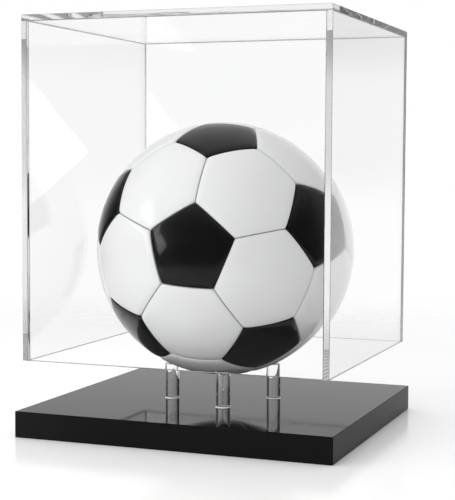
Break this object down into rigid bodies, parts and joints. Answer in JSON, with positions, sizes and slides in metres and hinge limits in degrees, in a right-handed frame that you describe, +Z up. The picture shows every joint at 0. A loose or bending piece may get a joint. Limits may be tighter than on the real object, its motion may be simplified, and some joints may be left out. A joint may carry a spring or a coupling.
{
  "type": "soccer ball display case",
  "caption": "Display case for a ball: flat black base with clear posts that carry a panelled ball, under a clear five-sided cover that lifts straight off.",
  "frame": {"origin": "middle of the base slab's underside, on the surface that the case stands on", "axes": "+Z up, -Y to the front of the case, +X to its right as seen from the front"},
  "size_m": [0.275, 0.25, 0.349],
  "materials": {
    "black_acrylic": "polished",
    "clear_sheet": "polished",
    "clear_rod": "polished",
    "white_cover_leather": "satin",
    "black_cover_leather": "satin",
    "bladder_rubber": "matte",
    "valve_rubber": "matte"
  },
  "bodies": {
    "base": {"base_slab": "black_acrylic", "post_front": "clear_rod", "post_right": "clear_rod", "post_rear": "clear_rod", "post_left": "clear_rod"},
    "cover": {"cover_top_panel": "clear_sheet", "cover_front_panel": "clear_sheet", "cover_rear_panel": "clear_sheet", "cover_left_panel": "clear_sheet", "cover_right_panel": "clear_sheet"},
    "ball": {"ball_hexagon_01": "white_cover_leather", "ball_hexagon_02": "white_cover_leather", "ball_hexagon_03": "white_cover_leather", "ball_hexagon_04": "white_cover_leather", "ball_hexagon_05": "white_cover_leather", "ball_hexagon_06": "white_cover_leather", "ball_hexagon_07": "white_cover_leather", "ball_hexagon_08": "white_cover_leather", "ball_hexagon_09": "white_cover_leather", "ball_hexagon_10": "white_cover_leather", "ball_hexagon_11": "white_cover_leather", "ball_hexagon_12": "white_cover_leather", "ball_hexagon_13": "white_cover_leather", "ball_hexagon_14": "white_cover_leather", "ball_hexagon_15": "white_cover_leather", "ball_hexagon_16": "white_cover_leather", "ball_hexagon_17": "white_cover_leather", "ball_hexagon_18": "white_cover_leather", "ball_hexagon_19": "white_cover_leather", "ball_hexagon_20": "white_cover_leather", "ball_pentagon_01": "black_cover_leather", "ball_pentagon_02": "black_cover_leather", "ball_pentagon_03": "black_cover_leather", "ball_pentagon_04": "black_cover_leather", "ball_pentagon_05": "black_cover_leather", "ball_pentagon_06": "black_cover_leather", "ball_pentagon_07": "black_cover_leather", "ball_pentagon_08": "black_cover_leather", "ball_pentagon_09": "black_cover_leather", "ball_pentagon_10": "black_cover_leather", "ball_pentagon_11": "black_cover_leather", "ball_pentagon_12": "black_cover_leather", "ball_bladder": "bladder_rubber", "ball_valve": "valve_rubber"}
  },
  "joints": [
    {"name": "cover_lift", "type": "slide", "parent": "base", "child": "cover", "axis": [0, 0, 1], "range_m": [-0.042, 0.21]},
    {"name": "ball_lift", "type": "slide", "parent": "base", "child": "ball", "axis": [0, 0, 1], "range_m": [0, 0.036]}
  ]
}
